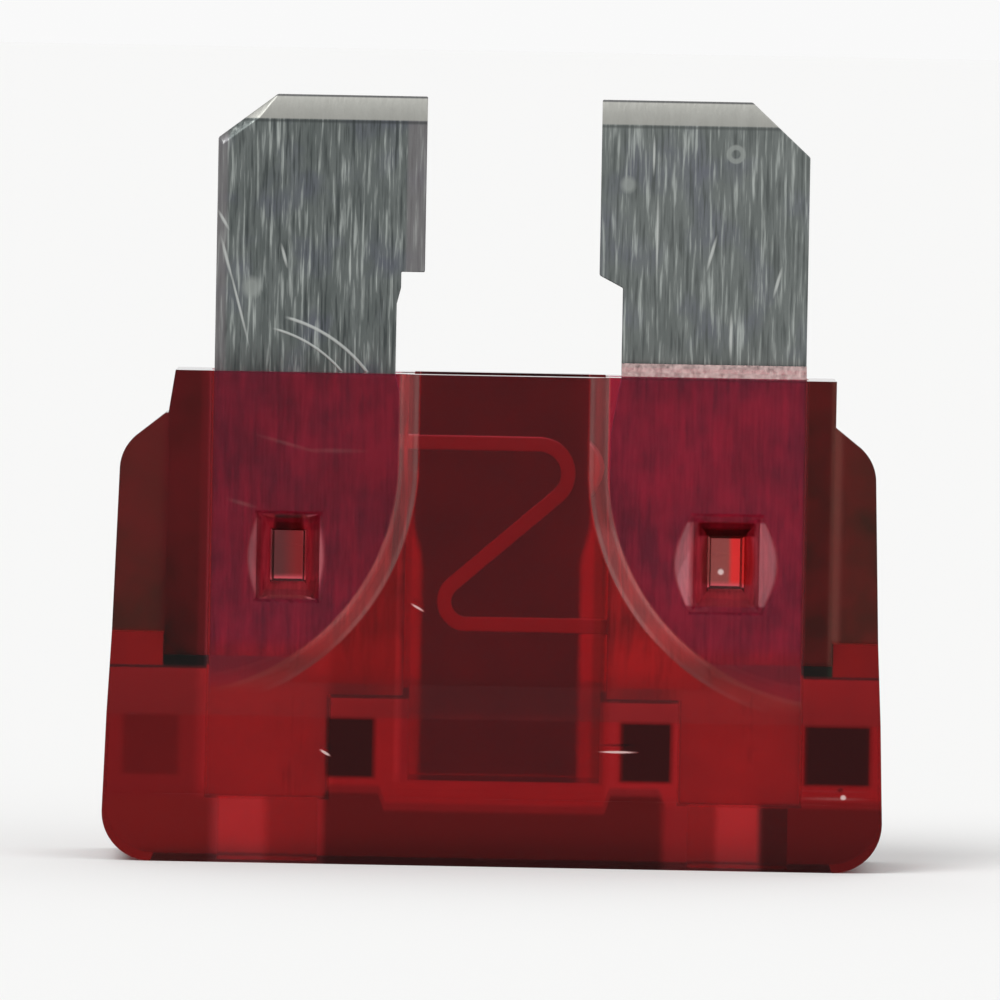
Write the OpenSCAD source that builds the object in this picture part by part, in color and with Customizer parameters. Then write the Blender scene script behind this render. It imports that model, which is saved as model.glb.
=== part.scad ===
// Automotive blade fuse, standing on its head with both blades pointing up.
// X runs across the blades, Y through the thickness with the front at -Y,
// Z up from the outer face of the head. All sizes are in millimetres.

/* [Blades] */
// Thickness of the zinc strip
strip_t = 0.65; // [0.5:0.01:0.75]
// Width of each blade above its notch
blade_w = 5.13; // [4.9:0.01:5.3]
// Span over the outer edges of the two blades
blade_span = 14.56; // [14.2:0.01:14.8]
// Length of blade outside the body
blade_out = 6.8; // [6:0.05:8]
// Width that each blade loses below its notch
notch_in = 0.58; // [0.4:0.01:0.7]
// Height of the notch above the body
notch_h = 2.48; // [2:0.01:3.5]
// Drop of the sloping shoulder at the right blade's notch
notch_drop = 0.3; // [0.1:0.01:0.6]
// Depth of the small neck under the left blade's square notch
neck_in = 0.1; // [0.04:0.01:0.2]
// Length of that neck's slope
neck_h = 0.4; // [0.2:0.01:0.6]

/* [Blade tips] */
// Width of the cut corner on each tip
corner_w = 1.44; // [1:0.01:1.8]
// Height of the left blade's cut corner
corner_left_h = 1.09; // [0.8:0.01:1.5]
// Height of the right blade's cut corner
corner_right_h = 1.33; // [0.8:0.01:1.6]
// Height of the coined bevel along each tip
coin_h = 0.6; // [0.3:0.01:0.8]
// Depth of the coined bevel into each face
coin_d = 0.17; // [0.05:0.01:0.22]
// Width of the bevel along the left blade's cut corner
coin_corner = 0.2; // [0.1:0.01:0.4]

/* [Strip inside the body] */
// Distance between the inner edges of the two blades inside the body
strip_gap = 5.0; // [4.8:0.01:5.1]
// Height at which each blade ends on its shoulder
shoulder_z = 3.65; // [3.4:0.01:4]
// Height inside the body at which each blade reaches its full width
neck_z = 10.6; // [10.5:0.01:10.8]
// Height of the tabs' ends behind the probe openings
tab_z = 1.55; // [1.3:0.01:1.9]
// Width of each tab
tab_w = 2.95; // [2.7:0.01:3.1]
// Width of the staking hole through each blade
hole_w = 1.3; // [1.1:0.01:1.5]
// Height of the staking hole
hole_h = 1.5; // [1.3:0.01:1.7]
// Distance between the centres of the two staking holes
hole_span = 10.76; // [10.6:0.01:11]
// Height of the staking holes' centres
hole_z = 7.46; // [7:0.01:8]
// Distance that the strip and its cavities lie right of the body's middle
core_x = 0.26; // [0:0.01:0.3]

/* [Fusible link] */
// Width of the link
link_w = 0.36; // [0.25:0.01:0.45]
// Thickness of the link
link_t = 0.3; // [0.2:0.01:0.45]
// Height of the run that leaves the left blade
link_top_z = 10.3; // [10.1:0.01:10.7]
// Height of the run that joins the right blade
link_low_z = 5.84; // [5.6:0.01:6.2]
// Radius of the upper bend
bend_top_r = 0.72; // [0.6:0.01:0.8]
// Radius of the lower bend
bend_low_r = 0.55; // [0.45:0.01:0.65]
// Distance of the upper bend's centre right of the middle
bend_top_x = 0.75; // [0.6:0.01:1.1]
// Distance of the lower bend's centre left of the middle
bend_low_x = 0.98; // [0.5:0.01:1.1]
// Length of the link's ends that runs into the blades' metal
link_root = 0.3; // [0.1:0.05:0.6]

/* [Head] */
// Width of the head at its widest
head_w = 19.1; // [18.8:0.01:19.4]
// Thickness of the head
head_d = 5.1; // [4.6:0.01:5.4]
// Height at which the head's faces begin to slope inward
head_h = 3.6; // [3.3:0.01:3.9]
// Height over which they slope in to the wings
slope_h = 1.95; // [1.6:0.01:2.3]
// Radius of the head's bottom corners
head_r = 1.2; // [0.8:0.01:1.3]
// Height of the parting step across the faces
step_z = 1.66; // [1.56:0.01:1.8]
// Depth of the parting step
step_d = 0.06; // [0.02:0.01:0.12]
// Amount that each side leans in from the head to the shoulder
side_lean = 0.26; // [0.1:0.01:0.4]

/* [Body] */
// Height of the body from the head's outer face to its mouth
body_h = 12; // [11.8:0.01:12.4]
// Thickness of the raised bell
bell_d = 3.8; // [3.7:0.01:4]
// Thickness of the recessed flats over the blades
flat_d = 2.9; // [2.8:0.01:3]
// Thickness of the side wings
wing_d = 2.1; // [1.8:0.01:2.3]
// Plastic beside each blade at the outside of the box
box_wall = 0.85; // [0.8:0.01:0.95]
// Distance that the box lies right of the head's middle
box_shift = 0.08; // [0:0.01:0.15]
// Height of the top of the shoulders
shoulder_top = 10.93; // [10.7:0.01:11.1]
// Slope of the shoulders in degrees
shoulder_slope = 38.5; // [30:0.5:45]
// Radius that turns the shoulders into the sides
shoulder_r = 1.1; // [0.8:0.01:1.2]
// Inward lean of the box's left edge towards the mouth
mouth_lean = 0.16; // [0.05:0.01:0.3]

/* [Bell and flats] */
// Width of the bell between the flats at the mouth
bell_w = 4.2; // [4.1:0.01:4.3]
// Distance that the bell lies right of the head's middle
bell_shift = 0.13; // [0:0.01:0.2]
// Radius of the bell's flare at its foot
flare_r = 6.2; // [6:0.01:6.4]
// Height at which the flare starts
flare_z = 9.8; // [9.7:0.01:9.9]
// Draft width of the wall between bell and flat
ridge_w = 0.46; // [0.2:0.01:0.5]

/* [Cavities] */
// Width of the central chamber
chamber_w = 4.7; // [4.6:0.01:4.76]
// Thickness of the chamber from front to back
chamber_d = 2.5; // [2.3:0.01:2.6]
// Height of the chamber's floor
chamber_z = 2.05; // [1.95:0.01:2.3]
// Clearance round the strip in its pockets
fit = 0.06; // [0.03:0.01:0.08]
// Width of each probe opening
probe_w = 2.45; // [2.2:0.01:2.6]
// Thickness of each probe opening
probe_d = 1.5; // [1.3:0.01:1.7]
// Distance between the centres of the probe openings
probe_span = 11.55; // [11.45:0.01:11.65]

/* [Staking dimples] */
// Width of the left dimple's rim
dimple_left_w = 1.65; // [1.5:0.01:1.8]
// Height of the left dimple's rim
dimple_left_h = 2.25; // [2.1:0.01:2.4]
// Width of the right dimple's rim
dimple_right_w = 1.8; // [1.6:0.01:1.9]
// Height of the right dimple's rim
dimple_right_h = 2.5; // [2.3:0.01:2.6]
// Width of a dimple's floor
dimple_floor_w = 0.8; // [0.6:0.01:0.9]
// Height of a dimple's floor
dimple_floor_h = 1.25; // [1.1:0.01:1.4]
// Depth of a dimple
dimple_d = 0.85; // [0.7:0.01:0.95]
// Amount that the left dimple's side rims bulge outward
bulge_left = 0.15; // [0.1:0.01:0.2]
// Amount that the right dimple's side rims bulge outward
bulge_right = 0.33; // [0.25:0.01:0.4]
// Depth of the bulging side rims
bulge_d = 0.3; // [0.2:0.01:0.4]
// Distance from a dimple's top and bottom rims to the ends of its bulges
bulge_end = 0.07; // [0.03:0.01:0.15]

/* [Lip] */
// Height of the raised lip at the root of the right blade
lip_h = 0.34; // [0.1:0.01:0.4]
// Thickness of the lip at its foot
lip_d = 0.55; // [0.4:0.01:0.65]

/* [Hidden] */
$fn = 96;
eps = 0.01;
arc_steps = 14;
tip_z = body_h + blade_out;
edge_out = blade_span / 2;
edge_in = edge_out - blade_w;
edge_low = edge_in + notch_in;
notch_z = body_h + notch_h;
tab_in = edge_out - tab_w;
box_x = edge_out + fit + box_wall;
side_x = head_w / 2;
side_top_x = side_x - side_lean;
pocket_t = strip_t + 2 * fit;
wing_top = head_h + slope_h;
hole_x = hole_span / 2;
flare_x = bell_w / 2 + flare_r;
plug_w = hole_w - 2 * fit;
plug_h = hole_h - 2 * fit;

function arc(cx, cz, r, a0, a1) =
    [for (i = [0:arc_steps]) let (a = a0 + (a1 - a0) * i / arc_steps) [cx + r * cos(a), cz + r * sin(a)]];

// An outline drawn in X and Z, given a thickness t centred on Y = 0
module slab(t) {
    translate([0, t / 2, 0]) rotate([90, 0, 0]) linear_extrude(t) children();
}

// A block with its lowest corner at low and its highest corner at high
module block(low, high) {
    translate(low) cube(high - low);
}

// FUSE STRIP: two blades, their tabs and the link, stamped as one piece of zinc

// Centreline of the link: a run, the upper bend, a straight diagonal, the lower bend and a run.
// The diagonal touches both bends, so its slope follows from their centres and radii.
bend_dx = bend_top_x + bend_low_x;
bend_dz = (link_top_z - bend_top_r) - (link_low_z + bend_low_r);
bend_far = sqrt(bend_dx * bend_dx + bend_dz * bend_dz);
diagonal = atan2(bend_dz, bend_dx) - asin((bend_top_r + bend_low_r) / bend_far);
link_end = strip_gap / 2 + link_root;

// side is +1 for the link's upper and outer edge, -1 for the other
function link_edge(side) = concat(
    [[-link_end, link_top_z + side * link_w / 2]],
    arc(bend_top_x, link_top_z - bend_top_r, bend_top_r + side * link_w / 2, 90, diagonal - 90),
    arc(-bend_low_x, link_low_z + bend_low_r, bend_low_r - side * link_w / 2, 90 + diagonal, 270),
    [[link_end, link_low_z + side * link_w / 2]]);

module link() {
    far_edge = link_edge(-1);
    slab(link_t) polygon(concat(link_edge(1), [for (i = [len(far_edge) - 1:-1:0]) far_edge[i]]));
}

// The right blade's outline from its tip down to its tab
module right_blade_outline() {
    polygon([
        [edge_in, tip_z], [edge_out - corner_w, tip_z], [edge_out, tip_z - corner_right_h],
        [edge_out, tab_z], [tab_in, tab_z], [tab_in, shoulder_z], [strip_gap / 2, shoulder_z],
        [strip_gap / 2, neck_z], [edge_low, body_h],
        [edge_low, notch_z - notch_drop], [edge_in, notch_z]]);
}

// The left blade differs in its cut corner and its square notch with a slight neck
module left_blade_outline() {
    mirror([1, 0]) polygon([
        [edge_in, tip_z], [edge_out - corner_w, tip_z], [edge_out, tip_z - corner_left_h],
        [edge_out, tab_z], [tab_in, tab_z], [tab_in, shoulder_z], [strip_gap / 2, shoulder_z],
        [strip_gap / 2, neck_z], [edge_low + neck_in, body_h],
        [edge_low + neck_in, notch_z - 2 * neck_h], [edge_low, notch_z - neck_h],
        [edge_low, notch_z], [edge_in, notch_z]]);
}

// The wedge that coining takes off one face along an edge of length l, its edge at Z = 0
module coin_wedge(l, h) {
    translate([-l / 2, 0, 0]) rotate([90, 0, 90]) linear_extrude(l)
        polygon([[-strip_t / 2 - 1, 1], [-strip_t / 2 + coin_d * (h + 1) / h, 1], [-strip_t / 2, -h],
                 [-strip_t / 2 - 1, -h]]);
}

module coin_wedges(l, h) {
    coin_wedge(l, h);
    mirror([0, 1, 0]) coin_wedge(l, h);
}

module coined_tips() {
    for (side = [-1, 1]) translate([side * (edge_in + edge_out) / 2, 0, tip_z]) coin_wedges(blade_w + 1, coin_h);
    corner_slope = atan2(corner_left_h, corner_w);
    translate([-edge_out + corner_w / 2, 0, tip_z - corner_left_h / 2]) rotate([0, -corner_slope, 0])
        coin_wedges(sqrt(corner_w * corner_w + corner_left_h * corner_left_h), coin_corner);
}

module staking_holes() {
    for (side = [-1, 1])
        block([side * hole_x - hole_w / 2, -strip_t, hole_z - hole_h / 2],
              [side * hole_x + hole_w / 2, strip_t, hole_z + hole_h / 2]);
}

module fuse_strip() color("slategray") {
    translate([core_x, 0, 0]) difference() {
        union() {
            slab(strip_t) left_blade_outline();
            slab(strip_t) right_blade_outline();
            link();
        }
        coined_tips();
        staking_holes();
    }
}

// HOUSING: one moulding of clear red plastic, open at the mouth

// Half of the front outline of head, sides and wings
side_half = concat(
    [[0, 0]],
    arc(side_x - head_r, head_r, head_r, 270, 360),
    arc(side_top_x - shoulder_r, shoulder_top - (side_top_x - box_x) * tan(shoulder_slope)
        - shoulder_r * (sin(90 - shoulder_slope) - (1 - cos(90 - shoulder_slope)) * tan(shoulder_slope)),
        shoulder_r, 0, 90 - shoulder_slope),
    [[box_x, shoulder_top], [0, shoulder_top]]);

module side_outline() {
    polygon(side_half);
    mirror([1, 0]) polygon(side_half);
}

// Front outline of the box that holds the blades, with its leaning left edge
module box_outline() {
    translate([box_shift, 0])
        polygon([[-box_x, eps], [box_x, eps], [box_x, body_h], [mouth_lean - box_x, body_h], [-box_x, shoulder_top]]);
}

// Head and wings: the front outline cut by a side profile with sloping faces and a parting step
module head_and_wings() {
    intersection() {
        slab(head_d + 1) side_outline();
        translate([-head_w, 0, 0]) rotate([90, 0, 90]) linear_extrude(2 * head_w) polygon(concat(
            [[0, 0], [head_d / 2, 0], [head_d / 2, step_z], [head_d / 2 - step_d, step_z],
             [head_d / 2 - step_d, head_h], [wing_d / 2, wing_top], [wing_d / 2, body_h]],
            [[-wing_d / 2, body_h], [-wing_d / 2, wing_top], [step_d - head_d / 2, head_h],
             [step_d - head_d / 2, step_z], [-head_d / 2, step_z], [-head_d / 2, 0]]));
    }
}

// What is cut from the front of the box to leave a flat over the right blade.
// Its wall leans back by ridge_w: a cone along the flare and a prism above it.
module flat_cutter() {
    drop = (bell_d - flat_d) / 2;
    translate([flare_x, -flat_d / 2, flare_z]) rotate([90, 0, 0])
        cylinder(h = 2 * drop, r1 = flare_r - ridge_w, r2 = flare_r + ridge_w, $fn = 180);
    translate([0, 0, flare_z]) linear_extrude(body_h - flare_z + 1)
        polygon([[bell_w / 2 + ridge_w, -flat_d / 2], [bell_w / 2 - ridge_w, -flat_d / 2 - 2 * drop],
                 [flare_x, -flat_d / 2 - 2 * drop], [flare_x, -flat_d / 2]]);
}

module box_and_bell() {
    difference() {
        slab(bell_d) box_outline();
        translate([bell_shift, 0, 0]) for (back = [0, 1], side = [0, 1])
            mirror([0, back, 0]) mirror([side, 0, 0]) difference() {
                flat_cutter();
                translate([0, 0, -1]) cylinder(h = head_h + 1, r = head_w, $fn = 48);
            }
    }
}

// Chamber for the link, thin pockets for the blades, slots for the tabs and probe openings
module cavities() {
    block([-chamber_w / 2, -chamber_d / 2, chamber_z], [chamber_w / 2, chamber_d / 2, body_h + 1]);
    block([-edge_out - fit, -pocket_t / 2, shoulder_z - fit], [edge_out + fit, pocket_t / 2, body_h + 1]);
    for (side = [-1, 1]) {
        low_x = min(side * (tab_in - fit), side * (edge_out + fit));
        block([low_x, -pocket_t / 2, tab_z - fit], [low_x + tab_w + 2 * fit, pocket_t / 2, shoulder_z]);
        probe_x = side * probe_span / 2;
        block([probe_x - probe_w / 2, -probe_d / 2, -1], [probe_x + probe_w / 2, probe_d / 2, tab_z - fit + eps]);
    }
}

// One dimple in the front face, centred on X = 0 and Z = 0: a tapered pit whose side rims bulge outward
module dimple(rim_w, rim_h, bulge) {
    face = -flat_d / 2;
    floor_y = face + dimple_d;
    out = 1 / dimple_d;
    intersection() {
        translate([0, 0, -rim_h]) linear_extrude(2 * rim_h)
            polygon([[-dimple_floor_w / 2, floor_y], [dimple_floor_w / 2, floor_y],
                     [rim_w / 2 + (rim_w - dimple_floor_w) / 2 * out, face - 1],
                     [-rim_w / 2 - (rim_w - dimple_floor_w) / 2 * out, face - 1]]);
        translate([-rim_w, 0, 0]) rotate([90, 0, 90]) linear_extrude(2 * rim_w)
            polygon([[floor_y, -dimple_floor_h / 2], [floor_y, dimple_floor_h / 2],
                     [face - 1, rim_h / 2 + (rim_h - dimple_floor_h) / 2 * out],
                     [face - 1, -rim_h / 2 - (rim_h - dimple_floor_h) / 2 * out]]);
    }
    lens_h = rim_h - 2 * bulge_end;
    lens_w = rim_w + 2 * bulge;
    lens_r = (lens_h * lens_h + (2 * bulge) * (2 * bulge)) / (8 * bulge);
    for (side = [-1, 1]) intersection() {
        translate([side * (lens_w / 2 - lens_r), face - 1, 0]) rotate([-90, 0, 0])
            cylinder(h = 1 + bulge_d, r = lens_r);
        translate([0, 0, -lens_h / 2]) linear_extrude(lens_h)
            polygon([[0, face - 1], [side * lens_w / 2, face - 1], [side * lens_w / 2, face],
                     [side * dimple_floor_w / 2, face + bulge_d], [0, face + bulge_d]]);
    }
}

module dimples() {
    for (turn = [0, 1]) mirror([0, turn, 0]) {
        translate([-hole_x, 0, hole_z]) dimple(dimple_left_w, dimple_left_h, bulge_left);
        translate([hole_x, 0, hole_z]) dimple(dimple_right_w, dimple_right_h, bulge_right);
    }
}

// Plastic pressed through each blade's hole from both walls
module stake_plugs() {
    for (side = [-1, 1])
        block([side * hole_x - plug_w / 2, -pocket_t / 2 - eps, hole_z - plug_h / 2],
              [side * hole_x + plug_w / 2, pocket_t / 2 + eps, hole_z + plug_h / 2]);
}

// Thin lip of plastic in front of the right blade's root, highest against the metal
module root_lip() {
    translate([edge_low, 0, body_h]) rotate([90, 0, 90]) linear_extrude(edge_out - edge_low)
        polygon([[-pocket_t / 2, -eps], [-pocket_t / 2, lip_h], [-pocket_t / 2 - lip_d / 2, lip_h],
                 [-pocket_t / 2 - lip_d, -eps]]);
}

module housing() color("firebrick") {
    difference() {
        union() {
            difference() {
                union() {
                    head_and_wings();
                    box_and_bell();
                }
                translate([core_x, 0, 0]) cavities();
            }
            translate([core_x, 0, 0]) {
                stake_plugs();
                root_lip();
            }
        }
        translate([core_x, 0, 0]) dimples();
    }
}

housing();
fuse_strip();
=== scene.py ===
# %% [markdown]
# # An automotive blade fuse in clear red plastic
#
# The fuse is two pieces: a stamped zinc strip with two blades and a thin bent link, and a red
# moulding that is clear enough to see the strip through. It stands on its head with the blades up.
# The measured model comes first, and everything after it only gives that model its finish.

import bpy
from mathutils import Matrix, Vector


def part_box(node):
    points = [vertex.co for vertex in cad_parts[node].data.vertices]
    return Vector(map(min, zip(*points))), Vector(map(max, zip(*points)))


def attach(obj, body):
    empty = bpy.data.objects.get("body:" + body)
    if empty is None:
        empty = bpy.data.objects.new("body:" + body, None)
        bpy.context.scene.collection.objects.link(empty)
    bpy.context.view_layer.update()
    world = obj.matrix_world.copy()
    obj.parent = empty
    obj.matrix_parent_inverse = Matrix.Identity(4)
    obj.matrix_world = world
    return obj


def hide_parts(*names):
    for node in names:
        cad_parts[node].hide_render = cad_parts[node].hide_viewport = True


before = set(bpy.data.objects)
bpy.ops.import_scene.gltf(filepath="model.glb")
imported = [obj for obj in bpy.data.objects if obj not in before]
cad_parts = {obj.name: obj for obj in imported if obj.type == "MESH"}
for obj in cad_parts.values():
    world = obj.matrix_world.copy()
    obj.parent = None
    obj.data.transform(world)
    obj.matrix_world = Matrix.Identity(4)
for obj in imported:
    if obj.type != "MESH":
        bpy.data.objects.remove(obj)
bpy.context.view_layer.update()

# %% [markdown]
# ## Working in millimetres
#
# The scene is in metres and a fuse is tiny, so the sizes below are written in millimetres and
# turned into metres by one factor. The blades' tips, middle and width come from the strip's own
# box. The other places that the finish follows are sizes of the part, such as where its dimples,
# its chamber and the flare of its bell lie.

# %% Sizes that the finish follows
import math

import bmesh
import bpy
import numpy as np

MM = 0.001
housing_low, housing_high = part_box("housing")
strip_low, strip_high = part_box("fuse_strip")
HEAD_HALF_W = (housing_high.x - housing_low.x) / 2 / MM
BLADE_OUT = (strip_high.x - strip_low.x) / 2 / MM
CORE_X = (strip_high.x + strip_low.x) / 2 / MM
TIP_Z = strip_high.z / MM
MOUTH_Z = 12.0
BOX_X = BLADE_OUT + 0.91
BOX_SHIFT = 0.08
WING_Z = 5.55
CHAMBER_Z = 2.05
FLARE_R = 6.2
FLARE_Z = 9.8
BELL_X = 2.1
BELL_SHIFT = 0.13
STAKE_X = 5.38
STAKE_Z = 7.46
COIN_H = 0.6
print("blade tips at", round(TIP_Z, 2), "mm; half width of the head", round(HEAD_HALF_W, 2), "mm")

# %% [markdown]
# ## Writing shader maths as Python
#
# A material is a graph of small sums. Wiring each sum by hand hides what it means, so one small
# class wraps a socket and turns `+ - * **` into Math nodes, and one method makes any other node.


# %% A socket that can be added and multiplied
class Wire:
    """One output socket. Arithmetic on it adds Math nodes to its finish and gives a new Wire."""

    def __init__(self, finish, socket):
        self.finish = finish
        self.socket = socket

    def maths(self, operation, *values):
        return self.finish.node("ShaderNodeMath", {"operation": operation}, dict(enumerate(values)))

    def __add__(self, other):
        return self.maths("ADD", self, other)

    def __sub__(self, other):
        return self.maths("SUBTRACT", self, other)

    def __mul__(self, other):
        return self.maths("MULTIPLY", self, other)

    def __rsub__(self, other):
        return self.maths("SUBTRACT", other, self)

    def __abs__(self):
        return self.maths("ABSOLUTE", self)

    def __pow__(self, other):
        return self.maths("POWER", self, other)

    def __rpow__(self, other):
        return self.maths("POWER", other, self)

    __radd__ = __add__
    __rmul__ = __mul__


# %% A graph with one method for every node
class Graph:
    """The nodes of a material or a world. node() adds any node and gives one of its outputs as a Wire."""

    def __init__(self, owner):
        owner.use_nodes = True
        self.tree = owner.node_tree
        self.tree.nodes.clear()

    def node(self, kind, settings=None, sockets=None, out=0):
        made = self.tree.nodes.new(kind)
        for key, value in (settings or {}).items():
            if key == "stops":
                self.set_stops(made.color_ramp, value)
            else:
                setattr(made, key, value)
        for key, value in (sockets or {}).items():
            if isinstance(value, Wire):
                self.tree.links.new(value.socket, made.inputs[key])
            else:
                made.inputs[key].default_value = value
        return Wire(self, made.outputs[out])

    @staticmethod
    def set_stops(ramp, stops):
        """Give a new ramp these (position, colour) pairs. It starts with two stops of its own."""
        while len(ramp.elements) < len(stops):
            ramp.elements.new(1.0)
        for element, (position, colour) in zip(ramp.elements, stops):
            element.position = position
            element.color = colour

    def end(self, kind, sockets):
        """The output node, fed by Wires."""
        made = self.tree.nodes.new(kind)
        for key, value in sockets.items():
            self.tree.links.new(value.socket, made.inputs[key])


# %% A material measured in the object's own millimetres
class Finish(Graph):
    """A new material. Its Wires x, y and z are the object's own coordinates in millimetres."""

    def __init__(self, name):
        self.material = bpy.data.materials.new(name)
        super().__init__(self.material)
        place = self.node("ShaderNodeTexCoord", out="Object")
        self.place = self.node("ShaderNodeVectorMath", {"operation": "SCALE"}, {0: place, "Scale": 1 / MM})
        parts = self.node("ShaderNodeSeparateXYZ", {}, {0: self.place})
        self.x, self.y, self.z = (Wire(self, s) for s in parts.socket.node.outputs)
        self.turns = {}

    def blend(self, a, b, amount):
        """Colour a where amount is 0 and colour b where it is 1."""
        return self.node("ShaderNodeMix", {"data_type": "RGBA"}, {"Factor": amount, 6: a, 7: b}, out=2)

    def noise(self, scale, detail=2.0, stretch=(1, 1, 1), shift=(0, 0, 0)):
        """Noise from 0 to 1 whose grains are 1/scale mm, drawn out by stretch."""
        ends = {0: self.place, 1: [scale / s for s in stretch], 2: shift}
        place = self.node("ShaderNodeVectorMath", {"operation": "MULTIPLY_ADD"}, ends)
        return self.node("ShaderNodeTexNoise", {}, {"Vector": place, "Scale": 1.0, "Detail": detail})

    def rise(self, value, at, soft):
        """0 below at and 1 above it, with a smooth step soft wide."""
        ends = {"Value": value, "From Min": at - soft / 2, "From Max": at + soft / 2}
        return self.node("ShaderNodeMapRange", {"interpolation_type": "SMOOTHSTEP"}, ends)

    def band(self, value, low, high, soft):
        """1 between low and high, with soft edges."""
        return self.rise(value, low, soft) * (1 - self.rise(value, high, soft))

    def peak(self, value, at, width):
        """1 where value is at, falling evenly to 0 at half the width on both sides."""
        ends = {"Value": abs(value - at), "From Max": width / 2, "To Min": 1, "To Max": 0}
        return self.node("ShaderNodeMapRange", {}, ends)

    def clamp(self, value):
        """The value held between 0 and 1."""
        return self.node("ShaderNodeClamp", {}, {0: value})

    def ramp(self, value, stops):
        """Colours or shares along a value: (value, colour) or (value, share) pairs, at most 32.
        Gives the colour, and its fourth number as a second Wire."""
        low, high = stops[0][0] - 0.1, stops[-1][0] + 0.1
        place = self.node("ShaderNodeMapRange", {}, {"Value": value, "From Min": low, "From Max": high})
        pairs = [((at - low) / (high - low), c if isinstance(c, tuple) else (c, c, c, 1)) for at, c in stops]
        made = self.node("ShaderNodeValToRGB", {"stops": pairs}, {"Fac": place})
        return made, Wire(self, made.socket.node.outputs["Alpha"])

    def turned(self, degrees):
        """The place turned about y, so that a line sloping up by degrees lies level. Turning is
        slow, so each angle is made once and shared."""
        if degrees not in self.turns:
            ends = {"Vector": self.place, "Rotation": (0, math.radians(degrees), 0)}
            self.turns[degrees] = self.node("ShaderNodeMapping", {}, ends)
        return self.turns[degrees]

    def disc(self, place, centre, half_w, half_h):
        """1 at the centre of an ellipse in the front view, falling evenly to 0 at its rim."""
        scale = (1 / half_w, 0, 1 / half_h)
        ends = {0: place, 1: scale, 2: (-centre[0] * scale[0], 0, -centre[1] * scale[2])}
        place = self.node("ShaderNodeVectorMath", {"operation": "MULTIPLY_ADD"}, ends)
        return self.node("ShaderNodeTexGradient", {"gradient_type": "SPHERICAL"}, {"Vector": place}, out=1)

    def mark(self, start, end, width):
        """A soft scratch from start to end, its slope rounded to 15 degrees: 1 in the middle."""
        slope = 15 * round(math.degrees(math.atan2(end[1] - start[1], end[0] - start[0])) / 15)
        c, s = math.cos(math.radians(slope)), math.sin(math.radians(slope))
        x, z = (start[0] + end[0]) / 2, (start[1] + end[1]) / 2
        place = self.turned(slope) if slope else self.place
        return self.disc(place, (c * x + s * z, c * z - s * x), math.dist(start, end) / 2, width / 2)

    def ring(self, centre, radius, width):
        """1 on a circle of the front view, fading to 0 at half its width on both sides."""
        return self.peak(self.disc(self.place, centre, 2 * radius, 2 * radius), 0.5, width / (2 * radius))

    def shade(self, volume=None, **sockets):
        """The one Principled shader of the material, joined to its output with a volume if it has one."""
        named = {key.replace("_", " "): value for key, value in sockets.items()}
        ends = {"Surface": self.node("ShaderNodeBsdfPrincipled", {}, named)}
        if volume:
            ends["Volume"] = volume
        self.end("ShaderNodeOutputMaterial", ends)


print("shader helpers ready")

# %% [markdown]
# ## Zinc: dull and scratched outside, clean inside
#
# The strip is rolled zinc. Rolling leaves a grain along the blade, and handling adds bright
# streaks, dark pits and a few long scratches to the part that sticks out. Inside the housing the
# same metal is still clean. One material covers both, and the height tells it which is which.

# %% Grain and colours of the zinc
STREAKS = (1, 1, 16)
SMEARS = (1, 1, 6)

DULL = (0.085, 0.097, 0.094, 1)
DULL_PALE = (0.15, 0.165, 0.16, 1)
DULL_BLUE = (0.1, 0.105, 0.135, 1)
STREAK_LIGHT = (0.42, 0.45, 0.43, 1)
STREAK_DARK = (0.045, 0.052, 0.052, 1)
CUT_EDGE = (0.2, 0.18, 0.188, 1)
# Painted shade: a dark line along the fold where the coined tip begins.
FOLD_SHADE = (0.04, 0.045, 0.045, 1)
RIGHT_BLADE = (0.36, 0.38, 0.36, 1)
COINED = (0.265, 0.265, 0.245, 1)
COINED_PALE = (0.375, 0.375, 0.35, 1)
TIP_LINE = (0.1, 0.1, 0.1, 1)
DENT = (0.28, 0.3, 0.285, 1)
SCRATCH = (0.5, 0.52, 0.5, 1)
CLEAN_DARK = (0.28, 0.25, 0.3, 1)
CLEAN_PALE = (0.95, 0.9, 1.0, 1)
LINK_LOW = (0.95, 0.95, 0.96, 1)
LINK_HIGH = (0.72, 0.84, 0.88, 1)
LINK_HALF_W = 2.4


# %% Scratches and dents in the zinc
def zinc_marks(f):
    """Scratches and dents on the bare blades: slanting lines, two curved ones and three round dents."""
    outside = f.rise(f.z, MOUTH_Z, 0.1)
    scratches = (
        f.mark((-7.0, 15.95), (-6.72, 15.4), 0.1)
        + f.mark((-6.95, 15.3), (-6.6, 14.2), 0.1)
        + f.mark((-6.75, 14.7), (-6.15, 12.5), 0.08)
        + f.mark((-5.47, 15.15), (-5.24, 14.5), 0.1)
        + f.ring((-6.14, 9.79), 3.62, 0.1) * f.band(f.x, -5.2, -3.1, 0.3) * outside
        + f.ring((-6.32, 9.9), 3.21, 0.08) * f.band(f.x, -5.5, -3.8, 0.3) * outside
        + f.mark((5.3, 15.55), (5.02, 14.6), 0.1)
        + f.mark((6.88, 14.8), (6.7, 13.95), 0.1)
        + f.mark((5.69, 13.7), (5.64, 12.4), 0.1)
        + f.mark((3.69, 18.0), (3.7, 16.9), 0.08)
        + f.mark((3.79, 16.7), (3.83, 14.2), 0.08)
    )
    dents = (
        f.mark((-6.42, 14.03), (-5.86, 14.03), 0.66) + f.mark((2.85, 16.73), (3.3, 16.73), 0.5)
        + f.ring((5.71, 17.52), 0.17, 0.16)
    )
    return f.clamp(scratches * 1.5), f.clamp(dents * 2)


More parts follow.
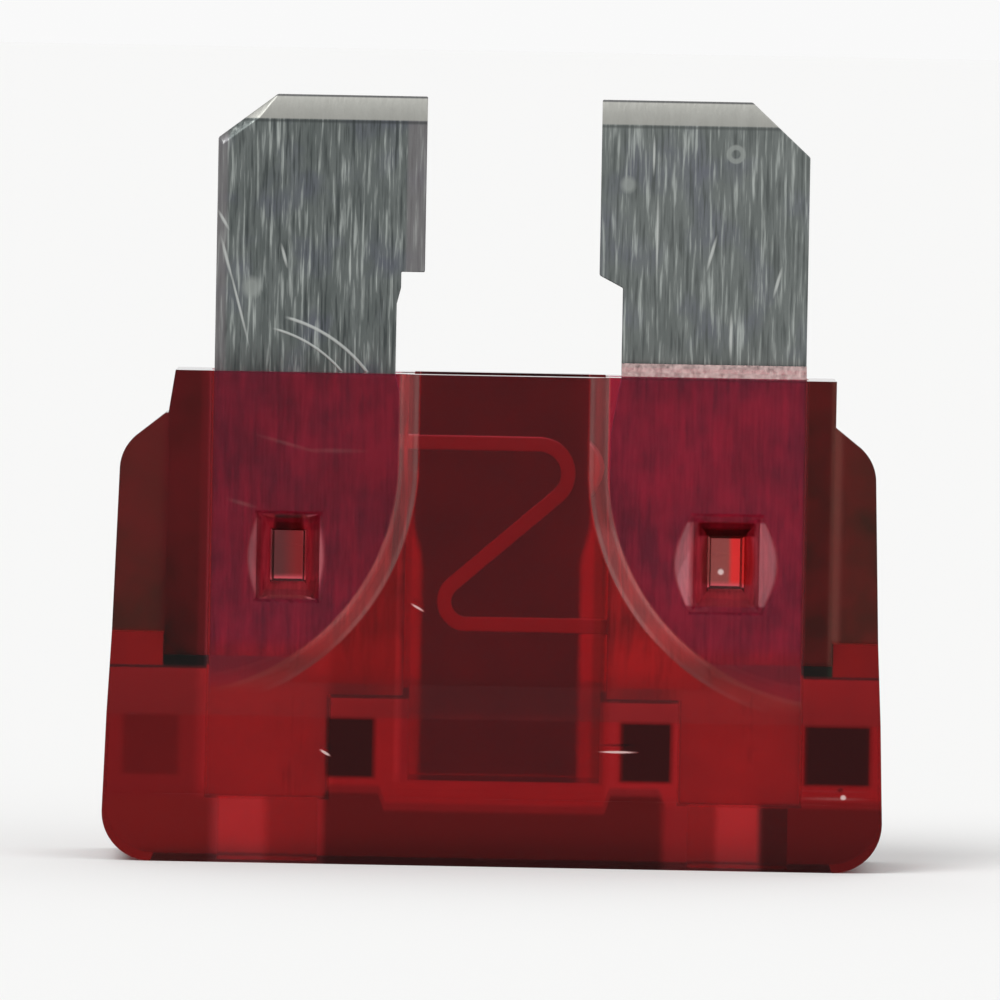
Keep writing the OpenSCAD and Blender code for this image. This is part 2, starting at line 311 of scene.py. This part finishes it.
# %% The zinc
def zinc_finish():
    """Dull, streaked metal above the housing's mouth and clean metal below it, mixed by height."""
    f = Finish("rolled zinc")
    outside = f.rise(f.z, MOUTH_Z - 0.05, 0.1)
    fine, broad = f.noise(13, 3, STREAKS), f.noise(4.5, 2, SMEARS, (3, 0, 1))
    clouds = f.noise(0.9, 2, (1, 1, 1), (9, 2, 0))
    light = f.node("ShaderNodeMapRange", {}, {"Value": fine, "From Min": 0.54, "From Max": 0.7})
    dark = f.node("ShaderNodeMapRange", {}, {"Value": fine, "From Min": 0.46, "From Max": 0.32})
    scratches, dents = zinc_marks(f)
    dull = f.blend(DULL, DULL_PALE, f.clamp(broad * 1.6 - 0.3))
    dull = f.blend(dull, DULL_BLUE, f.clamp(clouds * 4 - 2.1) * 0.8)
    dull = f.blend(dull, STREAK_LIGHT, light * (0.3 + broad * 0.8))
    dull = f.blend(dull, STREAK_DARK, dark * 0.8)
    left_edge = 1 - f.rise(f.x, CORE_X - BLADE_OUT + 0.25, 0.15)
    inner_edge = f.band(f.x, -2.36, -1.84, 0.1)
    dull = f.blend(dull, CUT_EDGE, (left_edge + inner_edge) * 0.5)
    coined = f.rise(f.z, TIP_Z - COIN_H, 0.04)
    # Painted shade along the fold above the coined tip.
    fold_shade = f.peak(f.z, TIP_Z - COIN_H - 0.05, 0.12)
    dull = f.blend(dull, FOLD_SHADE, fold_shade * 0.7)
    dull = f.blend(dull, RIGHT_BLADE, f.rise(f.x, 0, 1) * 0.1)
    dull = f.blend(dull, f.blend(COINED, COINED_PALE, f.clamp(broad * 0.6 + fine * 0.5)), coined)
    dull = f.blend(dull, TIP_LINE, f.rise(f.z, TIP_Z - 0.05, 0.03))
    dull = f.blend(dull, DENT, dents * 0.7)
    dull = f.blend(dull, SCRATCH, scratches * 0.75)
    under = 1 - f.rise(f.z, 5.0, 1.6)
    mixed = fine * 0.8 + broad * 1.4 + clouds * 1.7 - 1.4
    clean = f.blend(CLEAN_DARK, CLEAN_PALE, f.clamp(mixed + under * 0.8))
    beside_link = f.rise(abs(f.x - CORE_X), LINK_HALF_W, 0.1)
    link = f.blend(LINK_LOW, LINK_HIGH, f.rise(f.z, 8, 4))
    clean = f.blend(link, clean, beside_link)
    colour = f.blend(clean, dull, outside)
    height = fine * 0.7 + broad * 0.4 + scratches * 0.8 - dents * 0.3
    bump = f.node("ShaderNodeBump", {}, {"Strength": 0.3, "Distance": 0.03 * MM, "Height": height})
    f.shade(Base_Color=colour, Metallic=1.0, Roughness=0.45 - light * 0.1, Normal=bump)
    return f.material


zinc = zinc_finish()
print("rolled zinc has", len(zinc.node_tree.nodes), "nodes")

# %% [markdown]
# ## Clear red plastic
#
# The moulding is clear, so most of its look is light that goes in, crosses it and comes out
# again. Volume absorption makes thick places darker by itself. What that can't give is painted
# into a tint worked out from where a point lies in the front view: painted shade where the walls,
# wings, ribs and window go dark, and painted light where the tabs shine through, on the dimples,
# the bell's ridge and the wings' sloped feet. Most lists of stops below go across the fuse, in
# millimetres from its middle. Those of the bell and its shine go inwards from the bell's edge.


# %% Colours of the moulding
CLEAR = (0.74, 0.05, 0.06, 1)
WINDOW = (0.64, 0.05, 0.07, 1)
WINDOW_DEEP = (0.58, 0.045, 0.06, 1)
EDGE = (0.5, 0.05, 0.055, 1)
# The next four are painted shade: the box's walls and the wings are tinted near black where they look dark.
WALL_SHADE = (0.016, 0.028, 0.012, 1)
WALL_DEEP_SHADE = (0.001, 0.014, 0.005, 1)
BEHIND_WALL_SHADE = (0.06, 0.02, 0.02, 1)
WING_SHADE = (0.012, 0.045, 0.018, 1)
WING_LINE = (0.1, 0.2, 0.12, 1)
# A paler pink line along the blades' outer edges.
BLADE_EDGE_LINE = (0.45, 0.14, 0.18, 1)
CORNER = (0.48, 0.055, 0.05, 1)
FOOT = (0.27, 0.03, 0.03, 1)
PROBE = (0.75, 0.09, 0.1, 1)
# The next two are painted light: the head is brighter red where the tabs inside shine through it.
PROBE_GLOW = (1.0, 0.2, 0.22, 1)
COLUMN_GLOW = (0.92, 0.085, 0.1, 1)
BARE = (0.74, 0.05, 0.06, 0)
# Painted shade: the window's back wall is tinted near black, as if a dark room lay behind it.
WINDOW_BACK_SHADE = (0.012, 0.008, 0.008, 1)
BELL_FOOT = (0.9, 0.07, 0.08, 1)
# Painted glow on the wings' sloped feet, where light from above comes in.
SLOPE_GLOW = (1.0, 0.02, 0.02, 1)
SMOKE = (0.3, 0.03, 0.05, 1)
# Painted shade: near black for dark squares on the front of the head.
DARK_SQUARE = (0.012, 0.012, 0.012, 1)
# Pale scuffs, which on the knocks and the lip are painted glints and highlights.
SCUFF_AND_GLINT = (0.75, 0.55, 0.53, 1)

# %% Where they lie across the moulding
FOOT_STOPS = [
    (-9.6, CORNER), (-7.0, CORNER), (-6.7, PROBE_GLOW), (-5.7, PROBE_GLOW), (-5.4, PROBE),
    (-4.2, PROBE), (-4.05, FOOT), (4.1, FOOT), (4.3, PROBE), (5.4, PROBE), (5.6, PROBE_GLOW),
    (6.5, PROBE_GLOW), (6.66, FOOT),
]
HEAD_STOPS = [
    (-9.6, EDGE), (-7.4, EDGE), (-7.0, COLUMN_GLOW), (-4.2, COLUMN_GLOW), (-3.9, CLEAR), (2.7, CLEAR), (2.9, COLUMN_GLOW),
    (7.4, COLUMN_GLOW), (7.7, CLEAR),
]
# How far the foot's top lies above FOOT_TOP_Z across the head, as a share of FOOT_STEP.
FOOT_TOP_STOPS = [
    (-4.2, 0.57), (-4.05, 1.0), (-2.8, 1.0), (-2.65, 0.0), (2.75, 0.0), (2.9, 1.1), (4.1, 1.1), (4.25, 0.57),
]
INNER_STOPS = [
    (-2.5, BARE), (-2.42, COLUMN_GLOW), (-2.36, COLUMN_GLOW), (-2.22, WINDOW), (-1.8, WINDOW_DEEP), (2.0, WINDOW_DEEP),
    (2.12, WINDOW), (2.36, WINDOW), (2.46, EDGE), (2.66, EDGE), (2.76, BARE),
]
# Painted shade on the box's walls and the wings, across the fuse.
OUTER_STOPS = [
    (-8.3, WING_SHADE), (-8.14, WALL_DEEP_SHADE), (-7.34, WALL_DEEP_SHADE), (-7.26, BEHIND_WALL_SHADE), (-7.12, BEHIND_WALL_SHADE),
    (-7.05, BLADE_EDGE_LINE), (-6.97, BARE), (7.49, BARE), (7.54, BLADE_EDGE_LINE), (7.6, WALL_SHADE), (8.14, WALL_SHADE),
    (8.24, WING_LINE), (8.4, WING_LINE), (8.5, WING_SHADE),
]

# %% Painted light and shade across the two dimples and the bell's edge
# Painted light and shade of the dimples: lit rims, sills and bowed sides, dark cores and brows, and a slot
# that glows bright red.
RIM = (0.9, 0.22, 0.27, 1)
DIMPLE_CORE_SHADE = (0.12, 0.08, 0.07, 1)
BROWN = (0.38, 0.16, 0.13, 1)
SLOT = (1.0, 0.07, 0.06, 1)
SLOT_DULL = (0.3, 0.045, 0.04, 1)
LENS_HIGHLIGHT = (1.0, 0.42, 0.48, 1)
LENS_PINK_HIGHLIGHT = (1.0, 0.28, 0.33, 1)
FLAT = (0.7, 0.12, 0.25, 1)
# The bell's ridge is painted: pale highlight lines along both its edges, bright red between.
RIDGE = (1.0, 0.24, 0.24, 1)
RIDGE_HIGHLIGHT = (1.0, 0.4, 0.38, 1)
SILL_LIGHT = (0.9, 0.25, 0.28, 1)
BROW_SHADE = (0.16, 0.025, 0.025, 1)

DIMPLE_STOPS = [
    (-6.16, BARE), (-6.08, LENS_HIGHLIGHT), (-5.96, LENS_HIGHLIGHT), (-5.86, RIM), (-5.6, RIM), (-5.52, DIMPLE_CORE_SHADE),
    (-5.3, DIMPLE_CORE_SHADE), (-4.9, SLOT_DULL), (-4.72, SLOT_DULL), (-4.64, LENS_PINK_HIGHLIGHT), (-4.27, LENS_PINK_HIGHLIGHT),
    (-4.16, BARE), (4.3, BARE), (4.4, LENS_HIGHLIGHT), (4.7, LENS_HIGHLIGHT), (4.8, RIM), (4.98, RIM), (5.06, BROWN),
    (5.7, BROWN), (5.82, SLOT), (6.3, SLOT), (6.4, LENS_HIGHLIGHT), (6.84, LENS_HIGHLIGHT), (6.96, BARE),
]
BELL_STOPS = [
    (-0.04, BARE), (0.02, RIDGE_HIGHLIGHT), (0.08, RIDGE_HIGHLIGHT), (0.13, RIDGE), (0.35, RIDGE), (0.4, RIDGE_HIGHLIGHT),
    (0.45, RIDGE_HIGHLIGHT), (0.51, FLAT),
]
# Painted sheen along the ridge's highlight lines.
RIDGE_SHEEN_STOPS = [
    (-0.04, 0.0), (0.02, 0.09), (0.08, 0.09), (0.13, 0.055), (0.35, 0.055), (0.4, 0.09),
    (0.45, 0.09), (0.51, 0.0),
]
# Painted sheen on the dimples' bowed sides.
LENS_SHEEN_STOPS = [
    (-6.16, 0.0), (-6.08, 0.13), (-5.93, 0.13), (-5.85, 0.0), (-4.68, 0.0), (-4.6, 0.33), (-4.27, 0.33),
    (-4.16, 0.0), (4.3, 0.0), (4.4, 0.14), (4.7, 0.14), (4.8, 0.0), (6.34, 0.0), (6.44, 0.14), (6.84, 0.14),
    (6.96, 0.0),
]
DARK_SQUARE_STOPS = [
    (-9.14, 0.0), (-9.0, 0.5), (-7.76, 0.5), (-7.62, 0.0), (-4.13, 0.0), (-4.02, 1.0),
    (-2.94, 1.0), (-2.83, 0.0), (3.04, 0.0), (3.15, 1.0), (4.33, 1.0), (4.44, 0.0), (7.55, 0.0),
    (7.66, 1.0), (9.18, 1.0), (9.3, 0.0),
]

# %% Heights and widths that the tints follow
FOOT_TOP_Z = 1.34
FOOT_STEP = 0.42
DARK_SQUARE_LOW_Z = 2.12
DARK_SQUARE_HIGH_Z = 3.6
BELL_LOW_Z = 4.15
BELL_LEAN = 0.022
BELL_SIDE_X = 7.27
BELL_FADE_Z = 5.3
WALL_FOOT_Z = 4.75
WING_FOOT_STEP = 0.7
WINDOW_BACK_Y = 0.9
WINDOW_MIDDLE_X = 0.12
WINDOW_HALF_W = 2.2
WINDOW_MARGIN = 0.24
WINDOW_MARGIN_Z = 7.8
DIMPLE_HALF_H = 1.03
PLUG_HALF_W = 0.7
SILL_DEPTH = 0.52
BROW_HEIGHT = 0.68


# %% Where those colours go
def bell_reach(f):
    """How far a point lies inside a flat, from the bell's edge. With the height above the flare's
    top taken as 0, distance from the flare's centre serves for the straight part as well."""
    across = abs(f.x - BELL_SHIFT) - (BELL_X + FLARE_R)
    above = f.z - FLARE_Z
    below = above.maths("MINIMUM", above, 0)
    return FLARE_R - (across * across + below * below) ** 0.5


def head_colour(f, above_floor):
    """The foot of the head with the tabs' painted shine, the clear plastic over it, and the window
    whose back wall is painted near black: painted shade in place of a dark room behind it.
    """
    colour, inside = f.ramp(f.x, FOOT_STOPS)[0], f.ramp(f.x, HEAD_STOPS)[0]
    above_foot = f.rise(f.z - FOOT_STEP * f.ramp(f.x, FOOT_TOP_STOPS)[0], FOOT_TOP_Z, 0.15)
    colour = f.blend(colour, inside, above_foot)
    inner, shown = f.ramp(f.x, INNER_STOPS)
    colour = f.blend(colour, inner, shown * above_floor)
    margin = WINDOW_MARGIN * (1 - f.rise(f.z, WINDOW_MARGIN_Z, 1.2))
    window = 1 - f.rise(abs(f.x - WINDOW_MIDDLE_X) + margin, WINDOW_HALF_W, 0.2)
    # Painted shade: near black on the window's back wall.
    back_shade = window * above_floor * f.rise(f.y, WINDOW_BACK_Y, 0.1)
    return f.blend(colour, WINDOW_BACK_SHADE, back_shade)


def bell_colour(f, colour, reach, bell):
    """The colour with the bell's ridge, painted with highlights, and its flat over it, which low down
    are mixed with plain red.
    """
    tint, shown = f.ramp(reach, BELL_STOPS)
    tint = f.blend(BELL_FOOT, tint, f.rise(f.z, BELL_FADE_Z, 0.5) * 0.4 + 0.6)
    return f.blend(colour, tint, shown * bell * (1 - f.rise(abs(f.x - CORE_X), BELL_SIDE_X, 0.06)))


def side_colour(f, colour):
    """The colour with painted shade on the box's walls and the wings over it, painted glow on the
    wings' sloped feet, and how much is a wing's sloped foot.
    """
    outer, shown = f.ramp(f.x, OUTER_STOPS)
    outside_box = f.rise(abs(f.x - BOX_SHIFT), BOX_X + 0.03, 0.06)
    start = f.rise(f.z - WING_FOOT_STEP * outside_box, WALL_FOOT_Z, 0.08)
    colour = f.blend(colour, outer, shown * start * (1 - 0.56 * f.rise(f.y, 0, 2)))
    # Painted glow: the wings' sloped feet turn bright red with a little sheen, as if lit from above.
    slope = outside_box * f.band(f.z, WALL_FOOT_Z + 0.01, WING_Z, 0.05)
    return f.blend(colour, SLOPE_GLOW, slope), slope


def dimple_colour(f, colour):
    """The colour with the two dimples' painted light and shade over it, and how much is dimple. px
    and pz are measured from the middle of the nearer one, and its sides bow outwards with the square of pz."""
    px = f.x - (f.rise(f.x, 0, 0.1) * (2 * STAKE_X) + (CORE_X - STAKE_X))
    pz = f.z - STAKE_Z
    tint, shown = f.ramp(f.x + px * pz * pz * 0.3, DIMPLE_STOPS)
    shown = shown * (1 - f.rise(abs(pz), DIMPLE_HALF_H, 0.08))
    colour = f.blend(colour, tint, shown)
    within = shown * (1 - f.rise(abs(px), PLUG_HALF_W, 0.1))
    # Painted light on the sill below each plug, and painted shade on the brow above it.
    colour = f.blend(colour, SILL_LIGHT, f.rise(-1 * pz, SILL_DEPTH, 0.1) * within)
    brow_shade = f.rise(pz, BROW_HEIGHT, 0.08) * within * (0.1 + 0.9 * f.rise(f.x, 0, 0.1))
    return f.blend(colour, BROW_SHADE, brow_shade), shown


def plastic_colour(f, reach, bell):
    """The tint at each place, and how much painted sheen the dimples' rims and the wings' feet get."""
    above_floor = f.rise(f.z, CHAMBER_Z, 0.1)
    colour = bell_colour(f, head_colour(f, above_floor), reach, bell)
    colour, slope = side_colour(f, colour)
    colour, dimple = dimple_colour(f, colour)
    return colour, dimple * f.ramp(f.x, LENS_SHEEN_STOPS)[0] + slope * 0.11


# %% Nicks and scratches in the plastic, the nicks painted as glints
def plastic_marks(f):
    """Short pale marks where the moulding was knocked, painted bright with a strong sheen as glints,
    and longer faint ones over the left blade and at the right end of the head."""
    glinting_knocks = (
        f.mark((-4.25, 2.83), (-3.96, 2.61), 0.09)
        + f.mark((2.5, 2.86), (3.6, 2.87), 0.08)
        + f.mark((8.5, 1.86), (8.68, 1.85), 0.16)
        + f.mark((-2.1, 6.41), (-1.72, 6.17), 0.07)
        + f.mark((5.42, 7.26), (5.62, 7.24), 0.2)
    )
    faint = (
        0.5 * f.mark((-6.2, 10.5), (-4.3, 10.0), 0.12)
        + 0.5 * f.mark((-4.9, 10.07), (-3.1, 10.09), 0.14)
        + 0.6 * f.mark((-6.7, 8.9), (-5.85, 8.6), 0.14)
        + f.mark((7.4, 1.8), (9.3, 1.83), 0.1)
    )
    return f.clamp(glinting_knocks * 2), f.clamp(faint)


# %% The plastic
ABSORB = 1.0 / MM
ABSORB_COLOUR = (0.76, 0.2, 0.3, 1)


def plastic_finish():
    """One clear, absorbing plastic. Only its tint and its share of shine change from place to place."""
    f = Finish("clear red plastic")
    reach = bell_reach(f)
    bell = f.rise(f.z, BELL_LOW_Z - BELL_LEAN * f.x, 0.4)
    glinting_knocks, faint = plastic_marks(f)
    colour, painted_sheen = plastic_colour(f, reach, bell)
    # Darker in soft waves all over, and a fifth darker over the left flat.
    left_flat = f.rise(-1 * f.x, 2.4, 0.3) * f.rise(f.z, 7.2, 4.5)
    wave = f.noise(0.9, 3)
    colour = f.blend(colour, SMOKE, f.clamp(wave - 0.3) * 0.5 + left_flat * 0.2)
    # Painted shade: near-black squares on the front face of the head, where it looks dark.
    dark_squares = f.ramp(f.x, DARK_SQUARE_STOPS)[0] * f.band(f.z, DARK_SQUARE_LOW_Z, DARK_SQUARE_HIGH_Z, 0.14)
    colour = f.blend(colour, DARK_SQUARE, dark_squares * f.rise(-1 * f.y, 0, 0.1))
    grain = f.noise(9, 2, (1, 1, 2))
    # Painted highlight: the lip above the housing's mouth is pale and shiny, as if lit from above.
    lip_highlight = f.rise(f.z, MOUTH_Z + 0.02, 0.03)
    colour = f.blend(colour, SCUFF_AND_GLINT, f.clamp(glinting_knocks + faint + lip_highlight))
    # Painted sheen on the ridge, the dimples, the wings' feet, the knocks and the lip; a little on the faint
    # scratches.
    shine = (
        f.ramp(reach, RIDGE_SHEEN_STOPS)[0] * f.rise(f.z, 5.6, 1.2) + painted_sheen + lip_highlight * (grain * 1.3 - 0.1)
        + glinting_knocks * 0.8 + faint * 0.03
    )
    bump = f.node("ShaderNodeBump", {}, {"Strength": 0.15, "Distance": 0.05 * MM, "Height": wave})
    volume = f.node("ShaderNodeVolumeAbsorption", {}, {"Color": ABSORB_COLOUR, "Density": ABSORB})
    f.shade(
        volume, Base_Color=colour, Metallic=f.clamp(shine), Roughness=0.08, Normal=bump,
        Transmission_Weight=0.93, IOR=1.5, Specular_IOR_Level=0.12, Specular_Tint=(0.22, 0.2, 0.2, 1),
    )
    return f.material


plastic = plastic_finish()
print("clear red plastic has", len(plastic.node_tree.nodes), "nodes")

# %% [markdown]
# ## Rounding the edges
#
# Nothing that leaves a mould or a press has a knife edge, and an edge without a radius catches
# no light. A copy of each measured solid gets its corners merged and its flat faces joined, and a
# Bevel modifier then rounds the edges that turn by more than 18 degrees. The strip gets its full
# rounding. On the housing the modifier's overlap clamp leaves only about 0.002 mm of the 0.05 mm
# asked for, so its edges are still sharp in effect.


# %% A rounded copy of a measured solid
MERGE = 0.002
ROUNDED_TURN = 18
HOUSING_ROUNDING = 0.05
STRIP_ROUNDING = 0.03


def rounded_copy(node, name, width, material):
    """A copy of the solid that stands for it, with edges rounded by at most width millimetres."""
    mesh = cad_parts[node].data.copy()
    mesh.name = name
    form = bmesh.new()
    form.from_mesh(mesh)
    bmesh.ops.remove_doubles(form, verts=form.verts, dist=MERGE * MM)
    bmesh.ops.dissolve_limit(form, angle_limit=math.radians(0.5), verts=form.verts, edges=form.edges)
    bmesh.ops.recalc_face_normals(form, faces=form.faces)
    form.to_mesh(mesh)
    form.free()
    mesh.materials.clear()
    mesh.materials.append(material)
    mesh.polygons.foreach_set("use_smooth", np.ones(len(mesh.polygons), bool))
    piece = bpy.data.objects.new(name, mesh)
    bpy.context.scene.collection.objects.link(piece)
    bevel = piece.modifiers.new("rounded edges", "BEVEL")
    bevel.width = width * MM
    bevel.segments = 2
    bevel.limit_method = "ANGLE"
    bevel.angle_limit = math.radians(ROUNDED_TURN)
    shading = piece.modifiers.new("even shading", "WEIGHTED_NORMAL")
    shading.weight = 50
    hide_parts(node)
    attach(piece, "root")
    print(name, "has", len(mesh.polygons), "faces before rounding")
    return piece


housing = rounded_copy("housing", "red_housing", HOUSING_ROUNDING, plastic)
strip = rounded_copy("fuse_strip", "zinc_strip", STRIP_ROUNDING, zinc)

# %% [markdown]
# ## Studio
#
# A round floor reaches so far that no camera near the fuse sees its end. Lamps as far away as the
# sun, but wide, light it evenly, so it stays one plain pale tone all the way back.


# %% A wide round floor
def round_floor():
    """A disc of rings round the origin, in metres: radius grows from ring to ring, and the angle
    turns once."""
    radius = np.array([0.02, 0.05, 0.15, 0.5, 1.5, 6.0])
    angle = np.linspace(0, 2 * math.pi, 64, endpoint=False)
    rim = np.stack([np.outer(radius, np.cos(angle)), np.outer(radius, np.sin(angle))], -1).reshape(-1, 2)
    points = np.column_stack([np.vstack([[0, 0], rim]), np.zeros(len(rim) + 1)])
    ring = 1 + np.arange(len(radius) * len(angle)).reshape(len(radius), len(angle))
    after = np.roll(ring, -1, axis=1)
    quads = np.stack([ring[:-1], ring[1:], after[1:], after[:-1]], -1).reshape(-1, 4)
    middle = np.column_stack([np.zeros(len(angle), int), ring[0], after[0]])
    mesh = bpy.data.meshes.new("studio_floor")
    mesh.from_pydata(points, [], middle.tolist() + quads.tolist())
    return mesh


paper = Finish("studio paper")
paper.shade(Base_Color=(0.88, 0.88, 0.875, 1), Roughness=0.9, Specular_IOR_Level=0.0)
studio = bpy.data.objects.new("studio_floor", round_floor())
studio.data.materials.append(paper.material)
bpy.context.scene.collection.objects.link(studio)
print("floor has", len(studio.data.polygons), "faces")


# %% Lamps
def wide_sun(name, azimuth, elevation, power, spread):
    """A far lamp, spread degrees wide. Azimuth 0 is in front of the fuse and 90 at its right."""
    lamp = bpy.data.lights.new(name, "SUN")
    lamp.energy, lamp.angle = power, math.radians(spread)
    holder = bpy.data.objects.new(name, lamp)
    bpy.context.scene.collection.objects.link(holder)
    holder.rotation_euler = (math.radians(90 - elevation), 0, math.radians(azimuth))
    return holder


wide_sun("key_lamp", -35, 48, 1.5, 35)
wide_sun("fill_lamp", 50, 30, 0.5, 60)
wide_sun("back_lamp", 170, 55, 0.5, 50)
bpy.context.scene.view_settings.view_transform = "Standard"

# %% [markdown]
# ## World
#
# The world is the pale room round the fuse. What the camera, a shine or clear plastic sees of it
# is white paper, and what lights the surfaces is softer, so that the lamps still shape them.

# %% World
world = bpy.data.worlds.new("studio world")
room = Graph(world)
outputs = room.node("ShaderNodeLightPath").socket.node.outputs
camera_ray, glossy_ray, clear_ray = (
    Wire(room, outputs[name]) for name in ("Is Camera Ray", "Is Glossy Ray", "Is Transmission Ray")
)
seen = room.node("ShaderNodeClamp", {}, {0: camera_ray + glossy_ray + clear_ray})
soft = room.node("ShaderNodeBackground", {}, {"Color": (1, 1, 1, 1), "Strength": 0.5})
white = room.node("ShaderNodeBackground", {}, {"Color": (1, 1, 1, 1), "Strength": 0.95})
mixed = room.node("ShaderNodeMixShader", {}, {0: seen, 1: soft, 2: white})
room.end("ShaderNodeOutputWorld", {"Surface": mixed})
bpy.context.scene.world = world
print("three wide lamps and a pale world")

# %% [markdown]
# ## Camera
#
# The photograph looks almost straight at the front face, from two degrees above, through a
# long lens, and the fuse leans about one degree to the right in it. A distant camera with a
# matching roll gives the same view.

# %% Camera
PIXELS_PER_MM = 40.6
FRAME_PIXELS = 1000
DISTANCE = 0.35
ELEVATION = math.radians(2)
ROLL = math.radians(1.05)
AIM = np.array([0.06, 0, 8.9]) * MM

camera_data = bpy.data.cameras.new("photo_camera")
camera = bpy.data.objects.new("photo_camera", camera_data)
bpy.context.scene.collection.objects.link(camera)
bpy.context.scene.camera = camera
camera_data.sensor_width = 36
camera_data.lens = camera_data.sensor_width * DISTANCE / (FRAME_PIXELS / PIXELS_PER_MM * MM)
camera_data.clip_start, camera_data.clip_end = 0.01, 10
camera.location = AIM + DISTANCE * np.array([0, -math.cos(ELEVATION), math.sin(ELEVATION)])
camera.rotation_mode = "ZXY"
camera.rotation_euler = (math.pi / 2 - ELEVATION, 0, ROLL)
print("lens", round(camera_data.lens), "mm")
